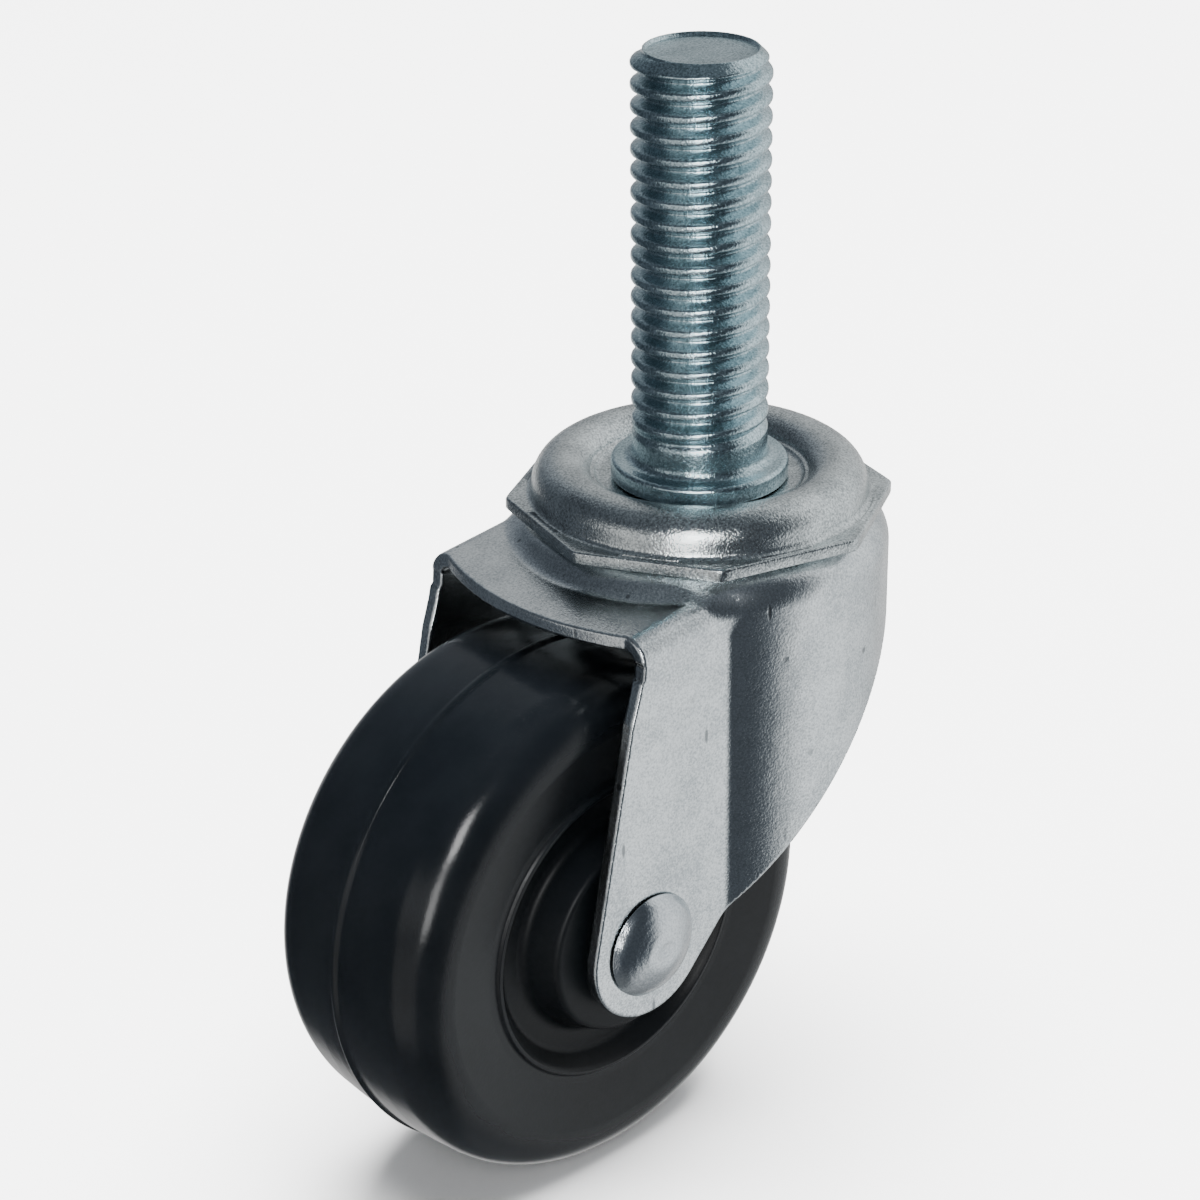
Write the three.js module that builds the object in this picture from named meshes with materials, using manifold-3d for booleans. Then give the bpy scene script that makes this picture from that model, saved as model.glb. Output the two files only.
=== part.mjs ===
// Swivel caster with a threaded stem and a solid rubber wheel.
// Units are millimetres, +Z is up. The origin is on the stem axis, in the
// plane of the collar's top face. The axle lies along Y and trails towards -X.

import * as THREE from 'three';
import { mergeVertices } from 'three/addons/utils/BufferGeometryUtils.js';
import Module from 'manifold-3d';

const wasm = await Module();
wasm.setup();

// ---------------------------------------------------------------- stem
const THREAD_R = 6.25;            // 1/2 inch - 13 thread, outside radius
const THREAD_ROOT_R = 5.12;
const THREAD_PITCH = 25.4 / 13;
const STEM_TOP = 38.1;
const STEM_END_R = 5.15;          // flat end inside the chamfer
const STEM_CHAMFER = 0.9;
const THREAD_START = 3.0;         // thread fades out below this height
const ROOT_TAPER = 1.6;           // from the shank up into the thread root
const SHANK_R = 6.2;
const SHANK_FILLET = 0.8;
const COLLAR_R = 8.15;
const COLLAR_T = 1.67;
const COLLAR_BEVEL = 0.35;
const KINGPIN_R = 4.0;
const PEEN_R = 6.0;               // head peened over under the lower race
const PEEN_H = 1.5;
const PRESS_GAP = 0.2;            // left between pieces that press on each other

// ---------------------------------------------------------------- swivel bearing
const PLATE_T = 1.15;             // top race sheet
const OCTAGON_R = 17.9;           // corner radius
const OCTAGON_TURN_DEG = 6.5;
const FLANGE_TOP = -3.43;
const DOME_R = 12.6;              // pitch radius of the ball dome
const DOME_TUBE = 2.85;           // outside radius of the dome section
const DOME_TOP = 0.2;
const DOME_SHEET = 0.8;           // sheet is thinned where it is drawn
const DISH_FLOOR = -1.92;
const RACE_HOLE_R = 4.3;
const BALL_R = 3.97 / 2;
const UPPER_BALLS = 18;
const LOWER_BALLS = 11;
const LOWER_PITCH_R = 7.6;
const UPPER_BALL_Z = -2.75;
const LOWER_BALL_Z = -7.35;
const LOWER_RACE_T = 1.2;
const LOWER_RACE_R = 11.0;

// ---------------------------------------------------------------- fork
const FORK_T = 1.4;
const HOOD_R = 17.5;              // round back, about the stem axis
const HOOD_TOP = -4.8;
const HOOD_SHOULDER = 3.2;
const RACE_HUB_TOP = -3.9;        // raised centre of the crown
const RACE_HUB_R = 10.3;
const RACE_GROOVE_R = 2.1;
const CROWN_HOLE_R = 5.0;
const APRON_TOP = -7.35;          // shelf in front of the boss, at APRON_FRONT_X
const APRON_FRONT_X = -21;
const APRON_RISE = 0.1;           // climbs towards the boss, mm per mm
const APRON_NOSE_X = -23.1;
const APRON_END_X = -20.7;
const APRON_CUT_Z = -9.5;         // just under the shelf's front edge
const BOSS_FILLET = 0.8;
const BOSS_FILLET_HALF = 12.9;    // the fillet stops short of the leg bends
const LEG_Y = 14.05;              // outside of the legs
const LEG_BEND_R = 2.4;
const LEG_BLEND_R = 1.3;          // hollow corner from leg to round back
const WALL_TOP = -9.9;            // the bend from leg to shelf starts above this
const TIP_X = -19.88;
const TIP_Z = -37.9;
const TIP_R = 6.92;
const TIP_FRONT_DEG = 168;
const TIP_BACK_DEG = -44.5;
const HOOD_BACK_Z = -13.4;        // lower edge at the very back

// ---------------------------------------------------------------- axle and wheel
const AXLE_X = -20.0;
const AXLE_Z = -37.5;
const RIVET_R = 3.1;
const RIVET_HEAD_R = 4.96;
const RIVET_TAIL_R = 4.7;
const RIVET_HOLE_R = 3.35;
const BUSH_IN_R = 3.4;
const BUSH_OUT_R = 4.75;
const BUSH_HALF = 12.4;
const WHEEL_R = 25.4;
const TREAD_R = 25.12;
const SHOULDER_R = 4.5;
const SIDE_HALF = 10.4;           // half width over the side walls
const LIP_R = 14.34;
const FLOOR_HALF = 8.2;
const HUB_HALF = 11.8;
const HUB_R = 9.3;
const WHEEL_BORE_R = 5.0;

// ---------------------------------------------------------------- helpers
const rad = THREE.MathUtils.degToRad;
const v2 = (x, y) => new THREE.Vector2(x, y);

// Points along an arc, both ends included, angles in degrees.
function arc(cx, cy, r, fromDeg, toDeg, steps) {
  const points = [];
  for (let i = 0; i <= steps; i += 1) {
    const a = rad(fromDeg + ((toDeg - fromDeg) * i) / steps);
    points.push(v2(cx + r * Math.cos(a), cy + r * Math.sin(a)));
  }
  return points;
}

function weld(geometry) {
  geometry.deleteAttribute('normal');
  geometry.deleteAttribute('uv');
  return mergeVertices(geometry, 1e-4);
}

function toSolid(geometry) {
  const g = weld(geometry);
  return new wasm.Manifold(new wasm.Mesh({
    numProp: 3,
    vertProperties: new Float32Array(g.attributes.position.array),
    triVerts: new Uint32Array(g.index.array),
  }));
}

function toGeometry(manifold) {
  const mesh = manifold.getMesh();
  const g = new THREE.BufferGeometry();
  g.setAttribute('position', new THREE.BufferAttribute(mesh.vertProperties, 3));
  g.setIndex(new THREE.BufferAttribute(mesh.triVerts, 1));
  return g;
}

// A closed profile of (radius, height) points turned about +Z.
function turned(points, segments) {
  const g = new THREE.LatheGeometry([...points, points[0]], segments);
  g.rotateX(Math.PI / 2);
  return weld(g);
}

// The same about +Y, through the axle.
function turnedOnAxle(points, segments) {
  const g = new THREE.LatheGeometry([...points, points[0]], segments);
  g.translate(AXLE_X, 0, AXLE_Z);
  return weld(g);
}

// A plan outline (x, y) raised from one height to another.
function raised(outline, fromZ, toZ) {
  const g = new THREE.ExtrudeGeometry(new THREE.Shape(outline), {
    depth: toZ - fromZ,
    bevelEnabled: false,
  });
  g.translate(0, 0, fromZ);
  return g;
}

// A side outline (x, z) pushed along Y over a given half width.
function acrossY(outline, half) {
  const g = new THREE.ExtrudeGeometry(new THREE.Shape(outline), {
    depth: 2 * half,
    bevelEnabled: false,
  });
  g.translate(0, 0, -half);
  g.rotateX(Math.PI / 2);
  return g;
}

// A cross-section (y, z) pushed along X.
function alongX(outline, fromX, toX) {
  const g = new THREE.ExtrudeGeometry(new THREE.Shape(outline), {
    depth: toX - fromX,
    bevelEnabled: false,
  });
  g.rotateX(Math.PI / 2);
  g.rotateZ(Math.PI / 2);
  g.translate(fromX, 0, 0);
  return g;
}

const group = new THREE.Group();

function addPart(name, geometry, color, metalness, roughness) {
  const material = new THREE.MeshStandardMaterial({ color, metalness, roughness });
  const mesh = new THREE.Mesh(geometry, material);
  mesh.name = name;
  group.add(mesh);
}

// ---------------------------------------------------------------- threaded stem
// The helical rod is longer than the thread; the blank trims it to length.
function helicalRod() {
  const columns = 16;
  const profile = [
    [-0.07, THREAD_ROOT_R],
    [0.07, THREAD_ROOT_R],
    [0.4, THREAD_R],
    [0.6, THREAD_R],
  ];
  const perTurn = profile.length;
  const bottom = -2 * THREAD_PITCH;
  const turns = Math.ceil((STEM_TOP - bottom) / THREAD_PITCH) + 2;
  const rows = turns * perTurn;
  const xyz = [];
  const firstOf = [];
  for (let c = 0; c < columns; c += 1) {
    const extra = c === 0 ? perTurn : 0;
    const angle = (2 * Math.PI * c) / columns;
    firstOf.push(xyz.length / 3);
    for (let r = 0; r <= rows + extra; r += 1) {
      const [offset, radius] = profile[r % perTurn];
      const turn = Math.floor(r / perTurn) + offset + c / columns;
      xyz.push(radius * Math.cos(angle), radius * Math.sin(angle), bottom + turn * THREAD_PITCH);
    }
  }
  const at = (c, r) => (c === columns ? firstOf[0] + r + perTurn : firstOf[c] + r);
  const triangles = [];
  for (let c = 0; c < columns; c += 1) {
    for (let r = 0; r < rows; r += 1) {
      triangles.push(at(c, r), at(c + 1, r), at(c + 1, r + 1));
      triangles.push(at(c, r), at(c + 1, r + 1), at(c, r + 1));
    }
  }
  const low = xyz.length / 3;
  const high = low + 1;
  xyz.push(0, 0, bottom - THREAD_PITCH);
  xyz.push(0, 0, bottom + (turns + 2) * THREAD_PITCH);
  for (let c = 0; c < columns; c += 1) {
    triangles.push(low, at(c + 1, 0), at(c, 0));
    triangles.push(high, at(c, rows), at(c + 1, rows));
  }
  for (let r = 0; r < perTurn; r += 1) {
    triangles.push(low, at(0, r), at(0, r + 1));
    triangles.push(high, at(0, rows + r + 1), at(0, rows + r));
  }
  const g = new THREE.BufferGeometry();
  g.setAttribute('position', new THREE.Float32BufferAttribute(xyz, 3));
  g.setIndex(triangles);
  return g;
}

function stemGeometry() {
  const blank = toSolid(turned([
    v2(0, 1),
    v2(THREAD_R + 0.2, 1),
    v2(THREAD_R + 0.2, STEM_TOP - STEM_CHAMFER),
    v2(STEM_END_R, STEM_TOP),
    v2(0, STEM_TOP),
  ], 32));
  const threaded = toSolid(helicalRod()).intersect(blank);
  const headTop = LOWER_BALL_Z - RACE_GROOVE_R - LOWER_RACE_T - PRESS_GAP;
  const lower = toSolid(turned([
    v2(0, headTop - PEEN_H),
    ...arc(0, headTop - PEEN_H + PEEN_R * 1.6, PEEN_R * 1.6, -75, -56, 3),
    v2(PEEN_R, headTop - 0.5),
    v2(PEEN_R - 0.3, headTop),
    v2(KINGPIN_R, headTop),
    v2(KINGPIN_R, -COLLAR_T),
    v2(COLLAR_R - COLLAR_BEVEL, -COLLAR_T),
    v2(COLLAR_R, -COLLAR_T + COLLAR_BEVEL),
    v2(COLLAR_R, -COLLAR_BEVEL),
    v2(COLLAR_R - COLLAR_BEVEL, 0),
    ...arc(SHANK_R + SHANK_FILLET, SHANK_FILLET, SHANK_FILLET, -90, -180, 3),
    v2(SHANK_R, THREAD_START),
    v2(THREAD_ROOT_R - 0.1, THREAD_START + ROOT_TAPER),
    v2(0, THREAD_START + ROOT_TAPER),
  ], 36));
  return toGeometry(threaded.add(lower));
}

// ---------------------------------------------------------------- top race
// Sheet profile: dished round the collar, domed over the balls, flat flange.
function topRaceGeometry() {
  const domeZ = DOME_TOP - DOME_TUBE;
  const inner = DOME_TUBE - DOME_SHEET;
  const under = FLANGE_TOP - PLATE_T;
  const rim = OCTAGON_R + 1;
  const sheet = toSolid(turned([
    v2(RACE_HOLE_R, DISH_FLOOR - PLATE_T),
    v2(9.2, DISH_FLOOR - PLATE_T),
    v2(10.4, DISH_FLOOR - PLATE_T + 0.25),
    ...arc(DOME_R, domeZ, inner, 170, 10, 6),
    v2(14.75, under + 0.5),
    v2(15.1, under),
    v2(rim, under),
    v2(rim, FLANGE_TOP),
    v2(16.05, FLANGE_TOP),
    v2(15.6, FLANGE_TOP + 0.2),
    ...arc(DOME_R, domeZ, DOME_TUBE, -5, 160, 9),
    v2(9.6, DISH_FLOOR + 0.2),
    v2(9.1, DISH_FLOOR),
    v2(RACE_HOLE_R, DISH_FLOOR),
  ], 48));
  const corners = [];
  for (let i = 0; i < 8; i += 1) {
    const a = rad(OCTAGON_TURN_DEG + 45 * i);
    corners.push(v2(OCTAGON_R * Math.cos(a), OCTAGON_R * Math.sin(a)));
  }
  return toGeometry(sheet.intersect(toSolid(raised(corners, -10, 5))));
}

// ---------------------------------------------------------------- lower race
function lowerRaceGeometry() {
  const r = RACE_GROOVE_R;
  const t = LOWER_RACE_T;
  const low = LOWER_BALL_Z - r;
  return turned([
    v2(RACE_HOLE_R, low - t),
    v2(9.4, low - t),
    ...arc(LOWER_RACE_R - 1.8, low - t + 1.8, 1.8, -75, 0, 4),
    v2(LOWER_RACE_R, LOWER_BALL_Z + 0.1),
    v2(LOWER_RACE_R - t, LOWER_BALL_Z + 0.1),
    ...arc(LOWER_PITCH_R, LOWER_BALL_Z, r, -8, -150, 6),
    v2(5.2, low + 0.75),
    v2(RACE_HOLE_R, low + 0.75),
  ], 36);
}

// ---------------------------------------------------------------- fork
// Plan of the wall: parallel legs, hollow corners, round back.
function wallPlan(legHalf, backR, cornerR) {
  const cy = legHalf + cornerR;
  const cx = -Math.sqrt((backR + cornerR) ** 2 - cy ** 2);
  const cornerDeg = THREE.MathUtils.radToDeg(Math.atan2(cy, cx));
  const half = [
    v2(-40, legHalf),
    ...arc(cx, cy, cornerR, -90, cornerDeg - 180, 3),
    ...arc(0, 0, backR, cornerDeg, 0, 16).slice(1, -1),
  ];
  const other = half.map((p) => v2(p.x, -p.y)).reverse();
  return [...half, v2(backR, 0), ...other];
}

// Half round channel: flat top, rounded bend, legs going straight down.
function channelSection(half, top, bendR) {
  return [
    v2(-half, top - 6),
    v2(half, top - 6),
    ...arc(half - bendR, top - bendR, bendR, 0, 90, 4),
    ...arc(-half + bendR, top - bendR, bendR, 90, 180, 4),
  ];
}

// Tilts a level shape so that it climbs with the shelf.
function withRise(geometry) {
  const tilt = new THREE.Matrix4().makeShear(0, APRON_RISE, 0, 0, 0, 0);
  return geometry.applyMatrix4(tilt).translate(0, 0, -APRON_RISE * APRON_FRONT_X);
}

// Solid under one face of the fork sheet; inset 0 is the outside face.
function forkBody(inset) {
  const half = LEG_Y - inset;
  const backR = HOOD_R - inset;
  const top = APRON_TOP - inset;
  const bend = LEG_BEND_R - inset;
  const shoulder = HOOD_SHOULDER - inset;
  const groove = RACE_GROOVE_R + inset;
  const grooveZ = HOOD_TOP + RACE_GROOVE_R;
  const hubDeg = Math.asin((grooveZ - RACE_HUB_TOP + inset) / groove) * THREE.MathUtils.RAD2DEG;
  const cup = toSolid(turned([
    v2(0, top - 6),
    v2(backR, top - 6),
    ...arc(backR - shoulder, HOOD_TOP - inset - shoulder, shoulder, 0, 90, 5),
    ...arc(DOME_R, grooveZ, groove, -90, hubDeg - 180, 4),
    v2(RACE_HUB_R - inset * 0.4, RACE_HUB_TOP - inset),
    v2(0, RACE_HUB_TOP - inset),
  ], 48));
  const walls = toSolid(raised(wallPlan(half, backR, LEG_BLEND_R + inset), -60, WALL_TOP - inset));
  const channel = toSolid(withRise(alongX(channelSection(half, top, bend), -40, 0)));
  const body = walls.add(channel).add(cup);
  if (inset > 0) {
    return body;
  }
  const flare = toSolid(withRise(turned([
    v2(HOOD_R - 1, APRON_TOP - 0.5),
    v2(HOOD_R + BOSS_FILLET, APRON_TOP - 0.5),
    ...arc(HOOD_R + BOSS_FILLET, APRON_TOP + BOSS_FILLET, BOSS_FILLET, -90, -165, 3),
    v2(HOOD_R - 1, APRON_TOP + BOSS_FILLET * 0.8),
  ], 48)));
  const front = toSolid(raised([
    v2(-30, -BOSS_FILLET_HALF),
    v2(-5, -BOSS_FILLET_HALF),
    v2(-5, BOSS_FILLET_HALF),
    v2(-30, BOSS_FILLET_HALF),
  ], -20, 0));
  return body.add(flare.intersect(front));
}

// Side view of everything the sheet keeps.
function forkSideOutline() {
  return [
    v2(-40, 0),
    v2(-40, APRON_CUT_Z),
    v2(APRON_END_X, APRON_CUT_Z),
    v2(-21.2, -12.1),
    v2(-22.1, -14.7),
    ...arc(TIP_X, TIP_Z, TIP_R, TIP_FRONT_DEG, 360 + TIP_BACK_DEG, 14),
    ...new THREE.QuadraticBezierCurve(v2(10.5, -16.4), v2(13.2, -13.7), v2(18.5, HOOD_BACK_Z)).getPoints(8),
    v2(30, HOOD_BACK_Z),
    v2(30, 0),
  ];
}

// What is cut away in front of the crown's curved front edge.
function noseCut() {
  const end = LEG_Y - LEG_BEND_R;
  const sag = APRON_END_X - APRON_NOSE_X;
  const r = (end ** 2 + sag ** 2) / (2 * sag);
  const spread = THREE.MathUtils.radToDeg(Math.asin(end / r));
  return [
    v2(-45, 20),
    v2(-45, -20),
    v2(APRON_END_X, -20),
    ...arc(APRON_NOSE_X + r, 0, r, 180 + spread, 180 - spread, 12),
    v2(APRON_END_X, 20),
  ];
}

function forkGeometry() {
  let sheet = forkBody(0).subtract(forkBody(FORK_T));
  sheet = sheet.intersect(toSolid(acrossY(forkSideOutline(), 25)));
  sheet = sheet.subtract(toSolid(raised(noseCut(), APRON_CUT_Z, 0)));
  const hole = toSolid(turned([v2(0, -20), v2(CROWN_HOLE_R, -20), v2(CROWN_HOLE_R, 5), v2(0, 5)], 32));
  const pinHole = toSolid(turnedOnAxle([
    v2(0, -20),
    v2(RIVET_HOLE_R, -20),
    v2(RIVET_HOLE_R, 20),
    v2(0, 20),
  ], 32));
  return toGeometry(sheet.subtract(hole).subtract(pinHole));
}

// ---------------------------------------------------------------- axle
function rivetGeometry() {
  const seat = LEG_Y + PRESS_GAP;
  return turnedOnAxle([
    v2(0, -seat - 1.9),
    v2(1.6, -seat - 1.85),
    v2(2.6, -seat - 1.65),
    v2(3.6, -seat - 1.23),
    v2(4.4, -seat - 0.77),
    v2(RIVET_HEAD_R, -seat - 0.35),
    v2(RIVET_HEAD_R, -seat),
    v2(RIVET_R, -seat),
    v2(RIVET_R, seat),
    v2(RIVET_TAIL_R, seat),
    v2(RIVET_TAIL_R - 0.2, seat + 0.55),
    v2(RIVET_TAIL_R - 1.3, seat + 1.05),
    v2(1.6, seat + 1.3),
    v2(0, seat + 1.35),
  ], 32);
}

function bushGeometry() {
  return turnedOnAxle([
    v2(BUSH_IN_R, -BUSH_HALF),
    v2(BUSH_OUT_R - 0.25, -BUSH_HALF),
    v2(BUSH_OUT_R, -BUSH_HALF + 0.25),
    v2(BUSH_OUT_R, BUSH_HALF - 0.25),
    v2(BUSH_OUT_R - 0.25, BUSH_HALF),
    v2(BUSH_IN_R, BUSH_HALF),
  ], 32);
}

// ---------------------------------------------------------------- wheel
// One moulding: hub boss, recess, side wall, rounded shoulder, crowned tread.
function wheelGeometry() {
  const half = [
    v2(WHEEL_BORE_R, HUB_HALF),
    v2(HUB_R - 0.5, HUB_HALF),
    v2(HUB_R, HUB_HALF - 0.5),
    v2(HUB_R + 1.0, FLOOR_HALF + 0.4),
    v2(HUB_R + 1.4, FLOOR_HALF),
    v2(LIP_R - 1.9, FLOOR_HALF),
    v2(LIP_R - 1.4, FLOOR_HALF + 0.3),
    v2(LIP_R - 0.4, 9.7),
    v2(LIP_R, 9.95),
    v2(LIP_R + 0.5, 9.7),
    ...arc(TREAD_R - 0.32 - SHOULDER_R, SIDE_HALF - SHOULDER_R, SHOULDER_R, 90, 0, 6),
    v2(TREAD_R - 0.12, 3.6),
    v2(TREAD_R, 1.6),
    v2(TREAD_R, 0.5),
  ];
  const other = half.map((p) => v2(p.x, -p.y));
  return turnedOnAxle([...other, v2(WHEEL_R, 0), ...half.reverse()], 48);
}

// ---------------------------------------------------------------- assembly
const ZINC_BLUE = 0xb9c8cc;
const ZINC = 0xb4b8b8;
const STEEL = 0x9a9c9e;
const RUBBER = 0x121315;

function addBalls(name, count, pitchR, z) {
  for (let i = 0; i < count; i += 1) {
    const a = (2 * Math.PI * i) / count;
    const ball = new THREE.SphereGeometry(BALL_R, 10, 6);
    ball.rotateX(Math.PI / 2);
    ball.translate(pitchR * Math.cos(a), pitchR * Math.sin(a), z);
    addPart(`${name}_${String(i + 1).padStart(2, '0')}`, weld(ball), STEEL, 1, 0.2);
  }
}

addPart('threaded_stem', stemGeometry(), ZINC_BLUE, 1, 0.3);
addPart('top_race', topRaceGeometry(), ZINC, 1, 0.35);
addBalls('upper_ball', UPPER_BALLS, DOME_R, UPPER_BALL_Z);
addPart('fork', forkGeometry(), ZINC, 1, 0.4);
addBalls('lower_ball', LOWER_BALLS, LOWER_PITCH_R, LOWER_BALL_Z);
addPart('lower_race', lowerRaceGeometry(), ZINC, 1, 0.4);
addPart('axle_rivet', rivetGeometry(), ZINC, 1, 0.35);
addPart('axle_bush', bushGeometry(), STEEL, 1, 0.35);
addPart('wheel', wheelGeometry(), RUBBER, 0, 0.3);

export default group;
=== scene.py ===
"""Looks for the threaded-stem swivel caster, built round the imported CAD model.

Shapes are worked out in millimetres in the part's own frame and scaled to metres
when a mesh is made. The origin is on the stem axis, in the plane of the collar's top.
"""

import math

import bmesh
import bpy
import numpy as np
from mathutils import Matrix, Vector


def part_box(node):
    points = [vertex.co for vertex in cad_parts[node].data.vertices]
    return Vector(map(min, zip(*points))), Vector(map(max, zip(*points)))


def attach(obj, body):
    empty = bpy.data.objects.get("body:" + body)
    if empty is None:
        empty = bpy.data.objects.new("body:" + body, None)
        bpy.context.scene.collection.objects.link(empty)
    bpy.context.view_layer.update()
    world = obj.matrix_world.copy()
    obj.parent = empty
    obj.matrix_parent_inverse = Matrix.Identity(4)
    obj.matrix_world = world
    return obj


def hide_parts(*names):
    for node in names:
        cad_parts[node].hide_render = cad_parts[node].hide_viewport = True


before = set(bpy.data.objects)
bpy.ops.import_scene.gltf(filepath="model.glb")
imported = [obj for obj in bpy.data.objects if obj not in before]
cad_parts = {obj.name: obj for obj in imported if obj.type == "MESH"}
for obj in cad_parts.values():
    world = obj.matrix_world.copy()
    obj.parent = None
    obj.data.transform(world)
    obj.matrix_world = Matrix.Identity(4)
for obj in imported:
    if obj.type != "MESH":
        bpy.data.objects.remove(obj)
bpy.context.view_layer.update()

MM = 0.001

# ---------------------------------------------------------------- dimensions, mm
THREAD_R = 6.25
THREAD_ROOT_R = 5.12
THREAD_PITCH = 25.4 / 13
STEM_TOP = 38.1
STEM_END_R = 5.15
END_LIP_R = 5.0
END_DISH_R = 4.86
END_DISH_DEPTH = 0.34
STEM_LOW = 1.2              # the thread's surface starts here, above the collar's fillet
SHANK_R = 6.2
SHANK_FILLET = 0.85
FADE_FROM = 2.2             # the thread fades in from the shank over this stretch
FADE_LENGTH = 2.6
CREST_END = 0.38            # thread section, in shares of half a pitch
FLANK_END = 0.9
CREST_DROP = 0.12           # and in shares of the thread's depth
ROOT_ROUND = 0.05
COLLAR_R = 8.15
COLLAR_T = 1.84
COLLAR_TOP_EDGE_R = 0.45
COLLAR_LOW_EDGE_R = 0.35
KINGPIN_R = 4.0
PEEN_R = 6.0
PEEN_EDGE_R = 0.35
PEEN_TOP = -10.85
PEEN_LOW = -12.35

OCTAGON_R = 17.9
OCTAGON_TURN = math.radians(6.5)
FLANGE_TOP = -3.43
PLATE_T = 1.15
PLATE_EDGE_R = 0.22
CORNER_BLEND = 0.11         # how far the octagon's corners are eased
FLANGE_FILLET = 0.6
DOME_R = 12.6
DOME_TUBE = 2.85
DOME_INNER = 2.05
DOME_Z = -2.65
DISH_FLOOR = -1.92
RACE_HOLE_R = 4.3
BALL_R = 3.97 / 2

FORK_T = 1.4
HOOD_R = 17.5
HOOD_TOP = -4.8
HOOD_SHOULDER = 3.2
HUB_TOP = -3.9
HUB_R = 10.7
HUB_EDGE_R = 0.45
HUB_FILLET = 0.7
CROWN_HOLE_R = 5.0
APRON_TOP = -7.35
APRON_FRONT_X = -21.0
APRON_RISE = 0.1
APRON_BACK_X = -2.0         # the apron and legs end here, inside the hood
NOSE_X = -23.1
NOSE_END_X = -20.7
LEG_Y = 14.05
LEG_BEND_R = 2.4
CREASE_R = 0.3
FOOT_R = 0.9
CREASE_FROM = -7.6          # from here down FOOT_R blends into CREASE_R
CREASE_BLEND = 2.4
TIP = (-19.88, -37.9)
TIP_R = 6.92
HOOD_BACK_Z = -13.4
RIVET_HOLE_R = 3.35
EDGE_R = 0.3
HOLE_EDGE_R = 0.15
APRON_CUT_Z = -9.6          # just under the apron's front edge
NOSE_LOW = -11.0            # the curved front edge is cut above this only
CROWN_LOW = -14.0           # and the crown's hole above this
FORK_VOXEL = 0.28

AXLE = (-20.0, -37.5)
WHEEL_R = 25.4
TREAD_R = 25.12
SIDE_HALF = 10.4
SHOULDER_R = 4.5
LIP_R = 14.34
FLOOR_HALF = 8.2
WHEEL_HUB_HALF = 11.8
WHEEL_HUB_R = 9.3
BORE_R = 5.0

FLOOR_Z = AXLE[1] - WHEEL_R
TABLE_HALF = 4000

# Azimuth, elevation and roll of the camera in degrees, and the origin in its axes.
VIEW = (-43.213, 25.804, -0.56)
ORIGIN_SEEN = (9.096, 13.351, -290.456)
LENS = 95.319
SENSOR = 36.0


# ---------------------------------------------------------------- camera
def place_camera():
    azimuth, elevation, roll = (math.radians(v) for v in VIEW)
    right = Vector((math.cos(azimuth), math.sin(azimuth), 0))
    back = Vector((
        math.sin(azimuth) * math.cos(elevation),
        -math.cos(azimuth) * math.cos(elevation),
        math.sin(elevation),
    ))
    up = back.cross(right)
    x_axis = right * math.cos(roll) + up * math.sin(roll)
    y_axis = up * math.cos(roll) - right * math.sin(roll)
    rows = Matrix((x_axis, y_axis, back))
    place = -(rows.transposed() @ Vector(ORIGIN_SEEN)) * MM
    data = bpy.data.cameras.new("camera")
    data.sensor_width = SENSOR
    data.lens = LENS
    data.clip_start = 0.005
    data.clip_end = 20
    camera = bpy.data.objects.new("camera", data)
    camera.matrix_world = Matrix.Translation(place) @ rows.transposed().to_4x4()
    bpy.context.scene.collection.objects.link(camera)
    bpy.context.scene.camera = camera


# ---------------------------------------------------------------- node helpers
def new_material(name):
    material = bpy.data.materials.new(name)
    material.use_nodes = True
    return material, material.node_tree.nodes, material.node_tree.links


def add_node(nodes, kind, **inputs):
    node = nodes.new(kind)
    for key, value in inputs.items():
        node.inputs[key.replace("_", " ")].default_value = value
    return node


def noise(nodes, links, coords, scale, detail, rough):
    node = add_node(nodes, "ShaderNodeTexNoise", Scale=scale, Detail=detail, Roughness=rough)
    links.new(coords, node.inputs["Vector"])
    return node.outputs["Fac"]


def ramp(nodes, links, value, low, high, out_low, out_high):
    node = nodes.new("ShaderNodeMapRange")
    node.inputs["From Min"].default_value = low
    node.inputs["From Max"].default_value = high
    node.inputs["To Min"].default_value = out_low
    node.inputs["To Max"].default_value = out_high
    links.new(value, node.inputs["Value"])
    return node.outputs["Result"]


def math_node(nodes, links, operation, a, b):
    node = nodes.new("ShaderNodeMath")
    node.operation = operation
    for i, v in enumerate((a, b)):
        if isinstance(v, (int, float)):
            node.inputs[i].default_value = v
        else:
            links.new(v, node.inputs[i])
    return node.outputs[0]


def mix_colour(nodes, links, factor, a, b):
    node = nodes.new("ShaderNodeMix")
    node.data_type = "RGBA"
    links.new(factor, node.inputs["Factor"])
    for socket, v in ((node.inputs[6], a), (node.inputs[7], b)):
        if isinstance(v, tuple):
            socket.default_value = (*v, 1)
        else:
            links.new(v, socket)
    return node.outputs[2]


def bump(nodes, links, height, distance, strength, below=None):
    node = add_node(nodes, "ShaderNodeBump", Strength=strength, Distance=distance)
    links.new(height, node.inputs["Height"])
    if below is not None:
        links.new(below, node.inputs["Normal"])
    return node.outputs["Normal"]


# ---------------------------------------------------------------- materials
CLOUD_SCALE = 240
GRAIN_SCALE = 4600
CLOUD_SHARE = 0.35          # of the plate's tone; the grain has the rest
# Round pits, then nicks stretched along one slant: cells per metre on each axis.
MARK_CELLS = ((330, 330, 330), (520, 520, 150))
# Distances from the axle in metres, between which the rubber's finish changes; inside the recess
# its reflection is also turned down, as painted shade.
RECESS_EDGE = (0.0138, 0.0146)
SHOULDER_EDGE = (0.0205, 0.0228)


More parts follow.
